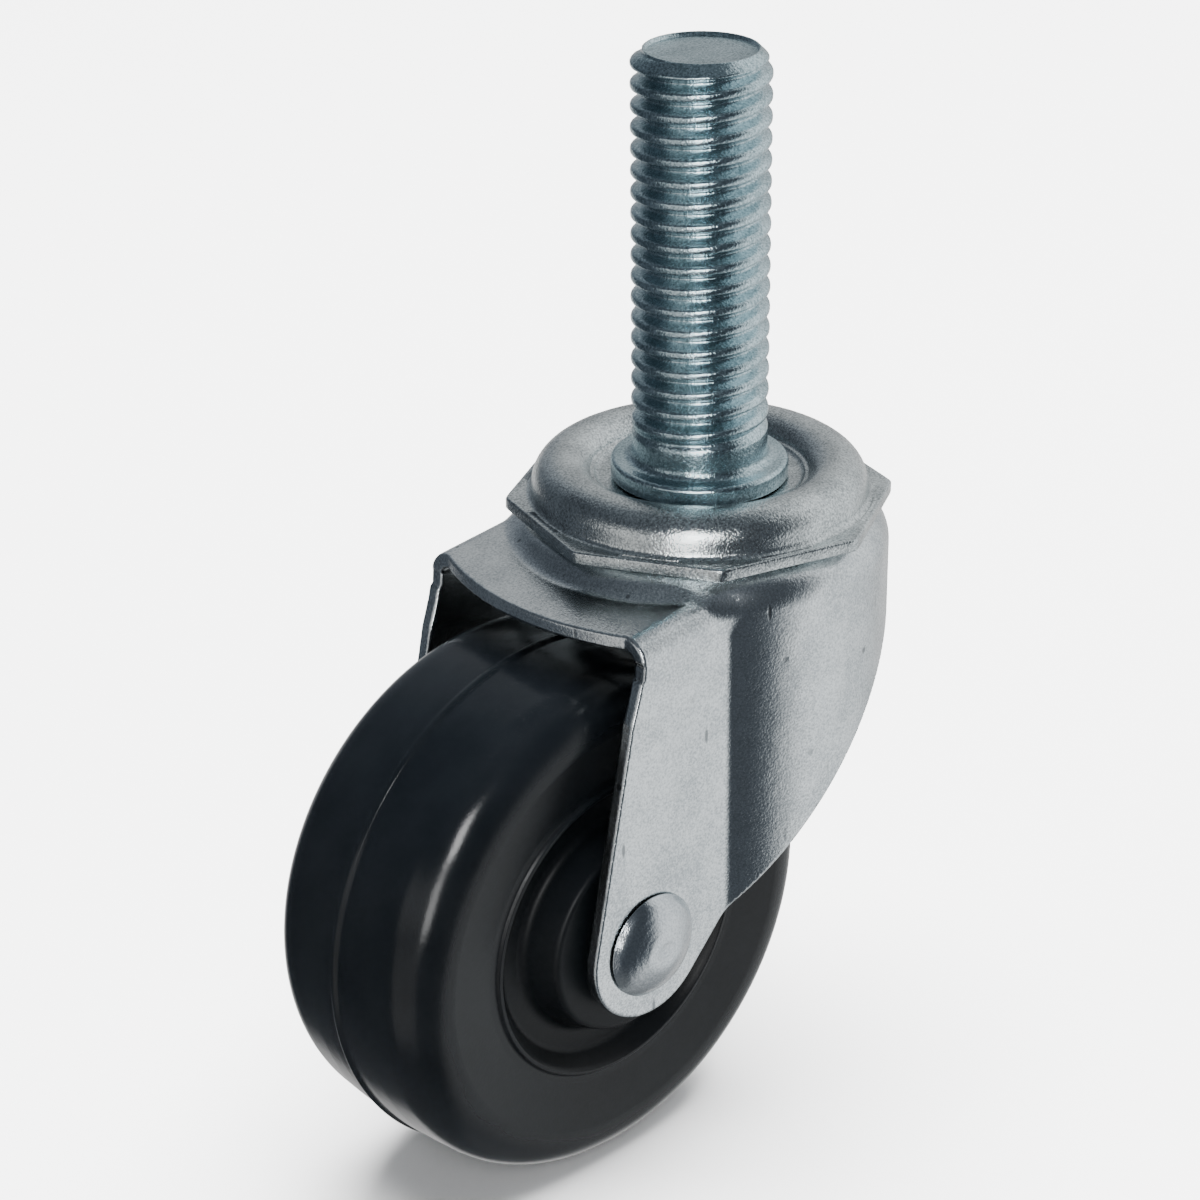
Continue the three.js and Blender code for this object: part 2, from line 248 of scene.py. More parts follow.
def zinc(name, light, dark, rough, speckle, pits):
    """Zinc plate: soft mottling, sparkling fine grain, a few small pits and nicks."""
    material, nodes, links = new_material(name)
    shader = nodes["Principled BSDF"]
    shader.inputs["Metallic"].default_value = 1.0
    coords = nodes.new("ShaderNodeTexCoord").outputs["Object"]
    cloud = noise(nodes, links, coords, CLOUD_SCALE, 5, 0.6)
    grain = noise(nodes, links, coords, GRAIN_SCALE, 2, 0.7)
    tone = math_node(nodes, links, "ADD", math_node(nodes, links, "MULTIPLY", cloud, CLOUD_SHARE),
                     math_node(nodes, links, "MULTIPLY", grain, 1 - CLOUD_SHARE))
    factor = ramp(nodes, links, tone, 0.38, 0.60, 0.0, 1.0)
    plate = mix_colour(nodes, links, factor, dark, light)
    marks = 0.0
    for k, stretch in enumerate(MARK_CELLS):
        lean = nodes.new("ShaderNodeMapping")
        lean.inputs["Rotation"].default_value = (0.5 * k, 0.9 * k, 0.3)
        lean.inputs["Scale"].default_value = stretch
        links.new(coords, lean.inputs["Vector"])
        cells = add_node(nodes, "ShaderNodeTexVoronoi", Scale=1.0)
        links.new(lean.outputs["Vector"], cells.inputs["Vector"])
        spot = ramp(nodes, links, cells.outputs["Distance"], 0.07, 0.13, 1.0, 0.0)
        lot = nodes.new("ShaderNodeSeparateXYZ")
        links.new(cells.outputs["Color"], lot.inputs[0])
        chosen = ramp(nodes, links, lot.outputs["X"], 0.60, 0.90, 0.0, 1.0)
        spot = math_node(nodes, links, "MULTIPLY", spot, chosen)
        marks = math_node(nodes, links, "MAXIMUM", spot, marks)
    marks = math_node(nodes, links, "MULTIPLY", marks, pits)
    stain = tuple(c * 0.5 for c in dark)
    links.new(mix_colour(nodes, links, marks, plate, stain), shader.inputs["Base Color"])
    links.new(ramp(nodes, links, tone, 0.35, 0.65, rough + 0.05, rough - 0.04),
              shader.inputs["Roughness"])
    fine = bump(nodes, links, grain, 0.000025, speckle)
    wave = bump(nodes, links, cloud, 0.00016, 0.3, fine)
    dent = math_node(nodes, links, "SUBTRACT", 1.0, marks)
    links.new(bump(nodes, links, dent, 0.00003, 0.6, wave), shader.inputs["Normal"])
    return material


def rubber():
    """Moulded black rubber: glossy tread and shoulder, duller side wall, dull recess whose
    reflection is also turned down as painted shade.
    """
    material, nodes, links = new_material("black_rubber_look")
    shader = nodes["Principled BSDF"]
    coords = nodes.new("ShaderNodeTexCoord").outputs["Object"]
    cloud = noise(nodes, links, coords, 90, 4, 0.6)
    grain = noise(nodes, links, coords, 3500, 3, 0.6)
    split = nodes.new("ShaderNodeSeparateXYZ")
    links.new(coords, split.inputs[0])
    across = math_node(nodes, links, "SUBTRACT", split.outputs["X"], AXLE[0] * MM)
    up = math_node(nodes, links, "SUBTRACT", split.outputs["Z"], AXLE[1] * MM)
    radius = math_node(nodes, links, "SQRT", math_node(
        nodes, links, "ADD", math_node(nodes, links, "MULTIPLY", across, across),
        math_node(nodes, links, "MULTIPLY", up, up)), 0)
    side = ramp(nodes, links, radius, *SHOULDER_EDGE, 0.30, 0.17)
    recess = ramp(nodes, links, radius, *RECESS_EDGE, 0.10, 0.0)
    dull = math_node(nodes, links, "ADD", side, recess)
    dull = math_node(nodes, links, "ADD", dull, ramp(nodes, links, cloud, 0.3, 0.7, -0.025, 0.035))
    links.new(dull, shader.inputs["Roughness"])
    factor = ramp(nodes, links, cloud, 0.35, 0.7, 0.0, 1.0)
    links.new(mix_colour(nodes, links, factor, (0.0015, 0.0021, 0.0028), (0.0030, 0.0038, 0.0048)),
              shader.inputs["Base Color"])
    # Reflection is turned down inside the recess as painted shade, standing in for the shadow
    # there; the tread and shoulder get more.
    shine_and_recess_shade = math_node(nodes, links, "ADD", ramp(nodes, links, radius, *RECESS_EDGE, 0.17, 0.26),
                      ramp(nodes, links, radius, *SHOULDER_EDGE, 0.0, 0.09))
    links.new(shine_and_recess_shade, shader.inputs["Specular IOR Level"])
    fine = bump(nodes, links, grain, 0.00002, 0.4)
    links.new(bump(nodes, links, cloud, 0.0003, 0.22, fine), shader.inputs["Normal"])
    return material


def steel(name, colour, rough):
    material, nodes, links = new_material(name)
    shader = nodes["Principled BSDF"]
    shader.inputs["Metallic"].default_value = 1.0
    coords = nodes.new("ShaderNodeTexCoord").outputs["Object"]
    cloud = noise(nodes, links, coords, 900, 3, 0.5)
    darker = tuple(c * 0.85 for c in colour)
    links.new(mix_colour(nodes, links, cloud, darker, colour), shader.inputs["Base Color"])
    links.new(ramp(nodes, links, cloud, 0.3, 0.7, rough * 0.8, rough * 1.25),
              shader.inputs["Roughness"])
    return material


# ---------------------------------------------------------------- mesh helpers
def make_piece(name, points, faces, material):
    """A smooth shaded object; points in millimetres."""
    mesh = bpy.data.meshes.new(name)
    mesh.from_pydata((np.asarray(points) * MM).tolist(), [], faces)
    mesh.validate()
    mesh.update()
    mesh.shade_smooth()
    mesh.materials.append(material)
    piece = bpy.data.objects.new(name, mesh)
    bpy.context.scene.collection.objects.link(piece)
    return piece


def arc(cx, cy, r, start, end, steps):
    """Points on an arc, angles in degrees, both ends included."""
    angles = np.radians(np.linspace(start, end, steps + 1))
    return [(cx + r * math.cos(t), cy + r * math.sin(t)) for t in angles]


def quadratic(start, control, end, steps):
    """Points on a quadratic curve, both ends included."""
    a, b, c = np.array(start), np.array(control), np.array(end)
    return [tuple((1 - t) ** 2 * a + 2 * t * (1 - t) * b + t * t * c)
            for t in np.linspace(0, 1, steps + 1)]


def rounded(corners, steps=5):
    """A closed polygon of (x, y, fillet) corners with each corner rounded off."""
    out = []
    n = len(corners)
    for i, (x, y, r) in enumerate(corners):
        if r <= 0:
            out.append((x, y))
            continue
        p = np.array((x, y))
        a = np.array(corners[i - 1][:2]) - p
        b = np.array(corners[(i + 1) % n][:2]) - p
        a /= np.linalg.norm(a)
        b /= np.linalg.norm(b)
        half = math.acos(float(np.clip(a @ b, -1, 1))) / 2
        reach = r / math.tan(half)
        middle = p + (a + b) / np.linalg.norm(a + b) * r / math.sin(half)
        start = p + a * reach - middle
        end = p + b * reach - middle
        t0 = math.atan2(start[1], start[0])
        turn = math.atan2(end[1], end[0]) - t0
        turn = (turn + math.pi) % (2 * math.pi) - math.pi
        for k in range(steps + 1):
            t = t0 + turn * k / steps
            out.append((middle[0] + r * math.cos(t), middle[1] + r * math.sin(t)))
    return out


def supported(profile, gap=0.12):
    """Adds a point near each end of every long straight, so flats shade flat."""
    out = []
    n = len(profile)
    for i in range(n):
        p = np.array(profile[i], float)
        q = np.array(profile[(i + 1) % n], float)
        out.append(tuple(p))
        length = float(np.linalg.norm(q - p))
        if length > 5 * gap:
            out.append(tuple(p + (q - p) * gap / length))
            out.append(tuple(q - (q - p) * gap / length))
    return out


def turned(profile, segments, axle=False):
    """Closed (radius, height) profile turned about the stem axis or the axle."""
    profile = supported(profile)
    n = len(profile)
    angles = np.linspace(0, 2 * np.pi, segments, endpoint=False)
    points = []
    for t in angles:
        for r, h in profile:
            if axle:
                points.append((AXLE[0] + r * math.cos(t), h, AXLE[1] + r * math.sin(t)))
            else:
                points.append((r * math.cos(t), r * math.sin(t), h))
    faces = []
    for s in range(segments):
        a, b = s * n, ((s + 1) % segments) * n
        for k in range(n):
            m = (k + 1) % n
            faces.append((a + k, b + k, b + m, a + m))
    return np.array(points), faces


def outward(points, faces):
    """Faces wound so that the closed surface's volume is positive."""
    p = np.asarray(points)
    volume = 0.0
    for f in faces:
        for k in range(1, len(f) - 1):
            volume += np.dot(p[f[0]], np.cross(p[f[k]], p[f[k + 1]]))
    return faces if volume > 0 else [tuple(reversed(f)) for f in faces]


def merged(piece, distance):
    """Welds points closer than distance, in mm, and drops what collapses."""
    bm = bmesh.new()
    bm.from_mesh(piece.data)
    bmesh.ops.remove_doubles(bm, verts=bm.verts, dist=distance * MM)
    bmesh.ops.dissolve_degenerate(bm, edges=bm.edges, dist=distance * MM * 0.5)
    bm.to_mesh(piece.data)
    bm.free()
    piece.data.shade_smooth()
    return piece


# ---------------------------------------------------------------- distance fields
def box_corner(u, v, u_edge, v_edge, r):
    """Distance to the quarter plane u < u_edge, v < v_edge with a rounded corner."""
    du = u - (u_edge - r)
    dv = v - (v_edge - r)
    return np.hypot(np.maximum(du, 0), np.maximum(dv, 0)) + np.minimum(np.maximum(du, dv), 0) - r


def join_round(a, b, r):
    """Union with a hollow fillet of radius r."""
    inside = np.hypot(np.maximum(r - a, 0), np.maximum(r - b, 0))
    return np.maximum(r, np.minimum(a, b)) - inside


def cut_round(a, b, r):
    """Intersection with the edge rounded to radius r."""
    outside = np.hypot(np.maximum(r + a, 0), np.maximum(r + b, 0))
    return np.minimum(-r, np.maximum(a, b)) + outside


def smooth(t):
    """Eases from 0 to 1 as t does."""
    t = np.clip(t, 0, 1)
    return t * t * (3 - 2 * t)


def polygon_distance(u, v, polygon):
    """Signed distance to a closed polygon, negative inside."""
    best = np.full(u.shape, 1e9)
    sign = np.ones(u.shape)
    n = len(polygon)
    for i in range(n):
        ax, ay = polygon[i]
        bx, by = polygon[(i + 1) % n]
        ex, ey = bx - ax, by - ay
        wx, wy = u - ax, v - ay
        t = np.clip((wx * ex + wy * ey) / (ex * ex + ey * ey), 0, 1)
        best = np.minimum(best, (wx - ex * t) ** 2 + (wy - ey * t) ** 2)
        above = v >= ay
        below = v < by
        left = ex * wy > ey * wx
        flip = (above & below & left) | (~above & ~below & ~left)
        sign = np.where(flip, -sign, sign)
    return sign * np.sqrt(best)


def fork_body(x, y, z, inset):
    rho = np.hypot(x, y)
    cup = box_corner(rho, z, HOOD_R - inset, HOOD_TOP - inset, HOOD_SHOULDER - inset)
    hub = box_corner(rho, z, HUB_R - inset * 0.5, HUB_TOP - inset, HUB_EDGE_R)
    cup = join_round(cup, hub, HUB_FILLET)
    level = z - APRON_RISE * (x - APRON_FRONT_X)
    channel = box_corner(np.abs(y), level, LEG_Y - inset, APRON_TOP - inset, LEG_BEND_R - inset)
    channel = np.maximum(channel, x - APRON_BACK_X)
    # Square to the apron at the boss's foot, but a shallow crease down the leg.
    low = smooth((CREASE_FROM - z) / CREASE_BLEND)
    crease = (FOOT_R + inset) * (1 - low) + (CREASE_R + inset * 0.15) * low
    return join_round(cup, channel, crease)


def fork_outline():
    front = quadratic((NOSE_END_X, APRON_CUT_Z), (-21.0, -11.6), (-22.1, -14.7), 5)
    back = quadratic((10.5, -16.4), (13.2, -13.7), (18.5, HOOD_BACK_Z), 14)
    return [
        (-60, 20), (-60, APRON_CUT_Z), *front,
        *arc(*TIP, TIP_R, 168, 315.5, 30),
        *back, (40, HOOD_BACK_Z), (40, 20),
    ]


FORK_OUTLINE = fork_outline()


def fork_distance(p):
    x, y, z = p.T
    sheet = np.maximum(fork_body(x, y, z, 0), -fork_body(x, y, z, FORK_T))
    side = polygon_distance(x, z, FORK_OUTLINE)
    end = LEG_Y - LEG_BEND_R
    sag = NOSE_END_X - NOSE_X
    r = (end ** 2 + sag ** 2) / (2 * sag)
    nose = np.hypot(x - NOSE_X - r, np.minimum(np.abs(y), end)) - r
    nose = np.where(z > NOSE_LOW, nose, -1.0)
    solid = cut_round(sheet, cut_round(side, nose, 0.4), EDGE_R)
    crown_hole = CROWN_HOLE_R - np.hypot(x, y)
    crown_hole = np.where(z > CROWN_LOW, crown_hole, -1.0)
    pin_hole = RIVET_HOLE_R - np.hypot(x - AXLE[0], z - AXLE[1])
    return cut_round(cut_round(solid, crown_hole, HOLE_EDGE_R), pin_hole, HOLE_EDGE_R)


def gradient(distance, p, step=0.004):
    g = np.empty_like(p)
    for axis in range(3):
        shift = np.zeros(3)
        shift[axis] = step
        g[:, axis] = distance(p + shift) - distance(p - shift)
    return g / (2 * step)


def settle(distance, p, edges, rounds=4):
    """Slides points onto the zero level, evening out their spacing on the way."""
    count = np.zeros(len(p))
    np.add.at(count, edges[:, 0], 1)
    np.add.at(count, edges[:, 1], 1)
    for k in range(rounds + 2):
        if k < rounds:
            mean = np.zeros_like(p)
            np.add.at(mean, edges[:, 0], p[edges[:, 1]])
            np.add.at(mean, edges[:, 1], p[edges[:, 0]])
            p = p + 0.5 * (mean / count[:, None] - p)
        for _ in range(2):
            d = distance(p)
            g = gradient(distance, p)
            size = np.maximum((g ** 2).sum(1), 0.25)
            p = p - (np.clip(d, -0.3, 0.3) / size)[:, None] * g
    g = gradient(distance, p)
    return p, g / np.maximum(np.linalg.norm(g, axis=1), 1e-6)[:, None]


def from_distance(name, node, distance, voxel, material):
    """Voxel mesh of a CAD node, drawn onto the exact surface of a distance field."""
    seed = bpy.data.objects.new(name + "_seed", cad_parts[node].data.copy())
    bpy.context.scene.collection.objects.link(seed)
    remesh = seed.modifiers.new("remesh", "REMESH")
    remesh.mode = "VOXEL"
    remesh.voxel_size = voxel * MM
    graph = bpy.context.evaluated_depsgraph_get()
    mesh = bpy.data.meshes.new_from_object(seed.evaluated_get(graph))
    bpy.data.objects.remove(seed)
    p = np.empty(len(mesh.vertices) * 3)
    mesh.vertices.foreach_get("co", p)
    p = p.reshape(-1, 3) / MM
    edges = np.empty(len(mesh.edges) * 2, np.int32)
    mesh.edges.foreach_get("vertices", edges)
    p, normals = settle(distance, p, edges.reshape(-1, 2))
    mesh.vertices.foreach_set("co", (p * MM).ravel())
    mesh.materials.clear()
    mesh.materials.append(material)
    mesh.update()
    mesh.shade_smooth()
    mesh.normals_split_custom_set_from_vertices(normals.tolist())
    piece = bpy.data.objects.new(name, mesh)
    bpy.context.scene.collection.objects.link(piece)
    return piece


# ---------------------------------------------------------------- pieces
def thread_radius(z, angle):
    """Rounded 60 degree thread, right hand, fading into the shank below."""
    turn = (z / THREAD_PITCH - angle / (2 * math.pi)) % 1.0
    off = abs(turn - 0.5) * 2
    depth = THREAD_R - THREAD_ROOT_R
    if off < CREST_END:
        drop = CREST_DROP * (off / CREST_END) ** 3
    elif off < FLANK_END:
        flank = 1 - ROOT_ROUND - CREST_DROP
        drop = CREST_DROP + flank * (off - CREST_END) / (FLANK_END - CREST_END)
    else:
        t = (1 - off) / (1 - FLANK_END)
        drop = 1.0 - ROOT_ROUND * t * t
    fade = float(smooth((z - FADE_FROM) / FADE_LENGTH))
    radius = THREAD_R - depth * drop
    return SHANK_R + (radius - SHANK_R) * fade


def stem_piece(material):
    columns, per_pitch = 96, 14
    low_z, high_z = STEM_LOW, STEM_TOP
    turns = int(math.ceil((high_z - low_z) / THREAD_PITCH)) + 2
    points = []
    for c in range(columns):
        angle = 2 * math.pi * c / columns
        for r in range(turns * per_pitch + 1):
            z = low_z - THREAD_PITCH + THREAD_PITCH * (r / per_pitch + c / columns)
            z = min(max(z, low_z), high_z)
            radius = thread_radius(z, angle)
            radius = min(radius, STEM_END_R + high_z - z)
            points.append((radius * math.cos(angle), radius * math.sin(angle), z))
    rows = turns * per_pitch + 1
    faces = []
    for c in range(columns - 1):
        for r in range(rows - 1):
            a, b = c * rows + r, (c + 1) * rows + r
            faces.append((a, b, b + 1, a + 1))
    last = (columns - 1) * rows
    for r in range(rows - 1):
        up = min(r + per_pitch, rows - 1)
        up2 = min(r + 1 + per_pitch, rows - 1)
        faces.append((last + r, up, up2, last + r + 1))
    for r in range(per_pitch):
        faces.append((last, r, r + 1))
    low_ring = len(points)
    top_edge, low_edge = COLLAR_TOP_EDGE_R, COLLAR_LOW_EDGE_R
    foot = list(reversed([
        *arc(SHANK_R + SHANK_FILLET, SHANK_FILLET, SHANK_FILLET, 180, 270, 7),
        (COLLAR_R - 0.5, 0.0),
        *arc(COLLAR_R - top_edge, -top_edge, top_edge, 80, 0, 4),
        *arc(COLLAR_R - low_edge, -COLLAR_T + low_edge, low_edge, 0, -90, 4),
        (KINGPIN_R + 0.3, -COLLAR_T),
        (KINGPIN_R, -COLLAR_T - 0.3),
        (KINGPIN_R, PEEN_TOP),
        *arc(PEEN_R - PEEN_EDGE_R, PEEN_TOP - PEEN_EDGE_R, PEEN_EDGE_R, 90, -20, 4),
        (PEEN_R - 0.9, PEEN_LOW + 0.42),
        (PEEN_R - 2.2, PEEN_LOW + 0.14),
        (PEEN_R - 4.0, PEEN_LOW),
    ]))
    foot.append((SHANK_R, low_z))
    n = len(foot)
    for c in range(columns):
        angle = 2 * math.pi * c / columns
        for r, z in foot:
            points.append((r * math.cos(angle), r * math.sin(angle), z))
    for c in range(columns):
        a, b = low_ring + c * n, low_ring + ((c + 1) % columns) * n
        for k in range(n - 1):
            faces.append((a + k, b + k, b + k + 1, a + k + 1))
    top = len(points)
    points.append((0, 0, high_z - END_DISH_DEPTH + 0.06))
    points.append((0, 0, PEEN_LOW))
    rings = [
        (STEM_END_R - 0.06, 0.0), (END_LIP_R + 0.03, 0.0), (END_LIP_R - 0.02, -0.03),
        (END_DISH_R + 0.03, -END_DISH_DEPTH + 0.02), (END_DISH_R - 0.05, -END_DISH_DEPTH),
        (END_DISH_R * 0.5, -END_DISH_DEPTH + 0.05),
    ]
    m = len(rings)
    for c in range(columns):
        angle = 2 * math.pi * c / columns
        for r, drop in rings:
            points.append((r * math.cos(angle), r * math.sin(angle), high_z + drop))
    for c in range(columns):
        d = (c + 1) % columns
        here, there = top + 2 + c * m, top + 2 + d * m
        faces.append((c * rows + rows - 1, d * rows + rows - 1, there, here))
        for k in range(m - 1):
            faces.append((here + k, there + k, there + k + 1, here + k + 1))
        faces.append((top, here + m - 1, there + m - 1))
        faces.append((top + 1, low_ring + d * n, low_ring + c * n))
    piece = make_piece("stem", points, faces, material)
    return merged(piece, 0.004)


def plate_piece(material):
    """The octagonal race plate: turned dome and dish, then a flange cut to eight sides."""
    columns = 256
    under = FLANGE_TOP - PLATE_T
    over_profile = [
        (RACE_HOLE_R, DISH_FLOOR), (8.3, DISH_FLOOR), (8.8, DISH_FLOOR),
        *arc(9.05, DISH_FLOOR + 0.75, 0.75, -80, -25, 4),
        *arc(DOME_R, DOME_Z, DOME_TUBE, 158, 12, 28),
        *arc(DOME_R + DOME_TUBE + FLANGE_FILLET + 0.02, FLANGE_TOP + FLANGE_FILLET,
             FLANGE_FILLET, 185, 262, 5),
    ]
    under_profile = [
        (15.35, under), (15.05, under + 0.04), (14.75, under + 0.3),
        *arc(DOME_R, DOME_Z, DOME_INNER, -2, 182, 18),
        (10.35, under + 0.85), (9.9, DISH_FLOOR - PLATE_T + 0.02), (9.0, DISH_FLOOR - PLATE_T),
        (RACE_HOLE_R, DISH_FLOOR - PLATE_T),
    ]
    edge = PLATE_EDGE_R
    low_edge = edge * 0.6
    rim = [(-edge - 0.6, 0.0), (-edge, 0.0)]
    rim += [(-edge + edge * math.sin(t), -edge + edge * math.cos(t))
            for t in (0.4, 0.8, 1.2)]
    rim += [(0.0, -edge), (0.0, -PLATE_T + low_edge)]
    rim += [(low_edge * (math.cos(t) - 1), -PLATE_T + low_edge * (1 - math.sin(t)))
            for t in (0.5, 1.0)]
    rim += [(-low_edge, -PLATE_T), (-edge - 0.6, -PLATE_T)]
    apothem = OCTAGON_R * math.cos(math.pi / 8)
    points = []
    for c in range(columns):
        angle = OCTAGON_TURN + 2 * math.pi * c / columns
        local = (2 * math.pi * c / columns) % (math.pi / 4) - math.pi / 8
        reach = apothem / math.cos(local)
        ease = math.exp(-reach / CORNER_BLEND) + math.exp((0.02 - OCTAGON_R) / CORNER_BLEND)
        reach = 0.02 - CORNER_BLEND * math.log(ease)
        column = [*over_profile, *[(reach + dr, FLANGE_TOP + dz) for dr, dz in rim], *under_profile]
        for r, z in column:
            points.append((r * math.cos(angle), r * math.sin(angle), z))
    n = len(points) // columns
    faces = []
    for c in range(columns):
        a, b = c * n, ((c + 1) % columns) * n
        for k in range(n):
            m = (k + 1) % n
            faces.append((a + k, b + k, b + m, a + m))
    return make_piece("race_plate", points, outward(points, faces), material)


def wheel_piece(material):
    half = [
        *rounded_open([(BORE_R, WHEEL_HUB_HALF - 0.3, 0), (BORE_R + 0.3, WHEEL_HUB_HALF, 0),
                       (WHEEL_HUB_R, WHEEL_HUB_HALF, 0.6), (WHEEL_HUB_R + 1.1, FLOOR_HALF, 0.9),
                       (LIP_R - 1.5, FLOOR_HALF, 0.7), (LIP_R - 0.38, 9.72, 0.35),
                       (LIP_R - 0.12, 10.02, 0.12), (LIP_R + 0.22, 9.98, 0.16),
                       (LIP_R + 0.42, 9.66, 0.25), (LIP_R + 1.2, 9.72, 0)]),
        *arc(TREAD_R - 0.32 - SHOULDER_R, SIDE_HALF - SHOULDER_R, SHOULDER_R, 92, 2, 18),
        (TREAD_R - 0.12, 3.6), (TREAD_R - 0.02, 1.6), (TREAD_R, 0.62),
        (TREAD_R + 0.03, 0.42), (TREAD_R + 0.16, 0.30), (WHEEL_R - 0.04, 0.16),
    ]
    profile = [(r, -h) for r, h in half] + [(WHEEL_R, 0.0)] + list(reversed(half))
    points, faces = turned(profile, 192, axle=True)
    return make_piece("solid_wheel", points, outward(points, faces), material)


def rounded_open(corners, steps=4):
    """Like rounded, for an open run: the first and last corners stay as they are."""
    return rounded([(x, y, 0 if i in (0, len(corners) - 1) else r)
                    for i, (x, y, r) in enumerate(corners)], steps)


def rivet_piece(material):
    """Axle rivet: each profile runs as (radius, height over the leg's face)."""
    seat = LEG_Y + 0.2
    shank, head, tail = 3.1, 4.96, 4.7
    near = [
        (0.001, 1.82), (0.6, 1.82), (0.95, 1.845), (1.1, 1.885), (1.25, 1.885),
        (1.6, 1.855), (2.1, 1.725), (2.7, 1.505), (3.3, 1.25), (3.9, 0.945), (4.3, 0.68),
        (4.58, 0.42), (4.78, 0.2), (4.9, 0.08), (head, 0.02), (head - 0.1, 0.0), (shank, 0.0),
    ]
    far = [
        (shank, 0.0), (tail - 0.12, 0.0), (tail, 0.1), (tail - 0.04, 0.35),
        (tail - 0.25, 0.62), (tail - 0.7, 0.86), (tail - 1.5, 1.08),
        (2.1, 1.22), (1.5, 1.26), (1.2, 1.16), (0.6, 1.02), (0.001, 1.0),
    ]
    profile = [(r, -seat - h) for r, h in near] + [(r, seat + h) for r, h in far]
    points, faces = turned(profile, 96, axle=True)
    return merged(make_piece("rivet", points, outward(points, faces), material), 0.003)


def lower_race_piece(material):
    t = 1.2
    z = -7.35
    low = z - 2.1
    profile = [
        (RACE_HOLE_R, low - t), (9.2, low - t), *arc(11 - 1.8, low - t + 1.8, 1.8, -85, 0, 6),
        (11.0, z), (10.9, z + 0.1), (9.9, z + 0.1), (9.8, z),
        *arc(7.6, z, 2.1, -8, -150, 12), (5.4, low + 0.78), (5.2, low + 0.75),
        (RACE_HOLE_R, low + 0.75),
    ]
    points, faces = turned(profile, 96)
    return make_piece("lower_cup", points, outward(points, faces), material)


def bush_piece(material):
    half = 12.4
    inside, outside = (3.4, 0.15), (4.75, 0.25)
    profile = rounded([
        (inside[0], -half, inside[1]), (outside[0], -half, outside[1]),
        (outside[0], half, outside[1]), (inside[0], half, inside[1]),
    ])
    points, faces = turned(profile, 64, axle=True)
    return make_piece("bush", points, outward(points, faces), material)


def ball_piece(name, node, material):
    low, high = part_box(node)
    centre = (low + high) / 2 / MM
    angle = math.atan2(centre.y, centre.x)
    rows, columns = 14, 24
    points, faces = [], []
    for i in range(1, rows):
        for j in range(columns):
            lat, lon = math.pi * i / rows, 2 * math.pi * j / columns + angle
            points.append((centre.x + BALL_R * math.sin(lat) * math.cos(lon),
                           centre.y + BALL_R * math.sin(lat) * math.sin(lon),
                           centre.z + BALL_R * math.cos(lat)))
    top, bottom = len(points), len(points) + 1
    points.append((centre.x, centre.y, centre.z + BALL_R))
    points.append((centre.x, centre.y, centre.z - BALL_R))
    for i in range(rows - 2):
        for j in range(columns):
            k = (j + 1) % columns
            faces.append((i * columns + j, (i + 1) * columns + j,
                          (i + 1) * columns + k, i * columns + k))
    for j in range(columns):
        k = (j + 1) % columns
        faces.append((top, j, k))
        faces.append((bottom, (rows - 2) * columns + k, (rows - 2) * columns + j))
    return make_piece(name, points, faces, material)


# ---------------------------------------------------------------- stage
# Brightness of the studio round the caster, by azimuth in degrees.
STUDIO = (
    (-180, 0.11), (-160, 0.15), (-140, 0.20), (-122, 0.10), (-108, 0.07), (-84, 0.07),
    (-75, 0.14), (-67, 0.76), (-60, 1.20), (-40, 1.22), (-8, 1.05), (12, 0.76), (25, 0.68),
    (40, 0.48), (62, 0.32), (80, 0.16), (92, 0.09), (140, 0.09), (160, 0.10), (180, 0.11),
)

SKEW = 0.45                 # lean of the bright side's near edge, radians per unit of height
OVERHEAD = (0.14, 0.16, 0.18)
UNDERFOOT = (0.18, 0.19, 0.20)
OVERHEAD_EDGE = (0.78, 0.92)    # heights of a unit ray between which each comes in
UNDERFOOT_EDGE = (-0.6, -0.92)
UNDERFOOT_SHARE = 0.8
SEEN_BY_CAMERA = (6.0, 6.0, 6.0)
PANEL_SOFTNESS = 8          # degrees of fade over and under a panel

# Low panels, as (middle azimuth, half width, fade, lowest, highest, brightness): the lit
# front of the table and the pale backdrop. Angles in degrees.
PANELS = (
    (-168, 20, 11, -38, -6, 0.6),
    (-166, 30, 12, 4, 19, 0.8),
    (45, 30, 16, -56, -10, 0.9),
)


def area_light(name, azimuth, elevation, distance, size, radiance, in_reflections):
    """A soft box aimed at the caster; size in metres, radiance in W/sr/m2."""
    azimuth, elevation = math.radians(azimuth), math.radians(elevation)
    place = distance * Vector((
        math.cos(azimuth) * math.cos(elevation),
        math.sin(azimuth) * math.cos(elevation),
        math.sin(elevation),
    ))
    data = bpy.data.lights.new(name, "AREA")
    data.shape = "RECTANGLE"
    data.size, data.size_y = size
    data.energy = radiance * math.pi * size[0] * size[1]
    light = bpy.data.objects.new(name, data)
    light.location = place
    light.rotation_mode = "QUATERNION"
    light.rotation_quaternion = (-place).to_track_quat("-Z", "Y")
    light.visible_glossy = in_reflections
    light.visible_camera = False
    bpy.context.scene.collection.objects.link(light)


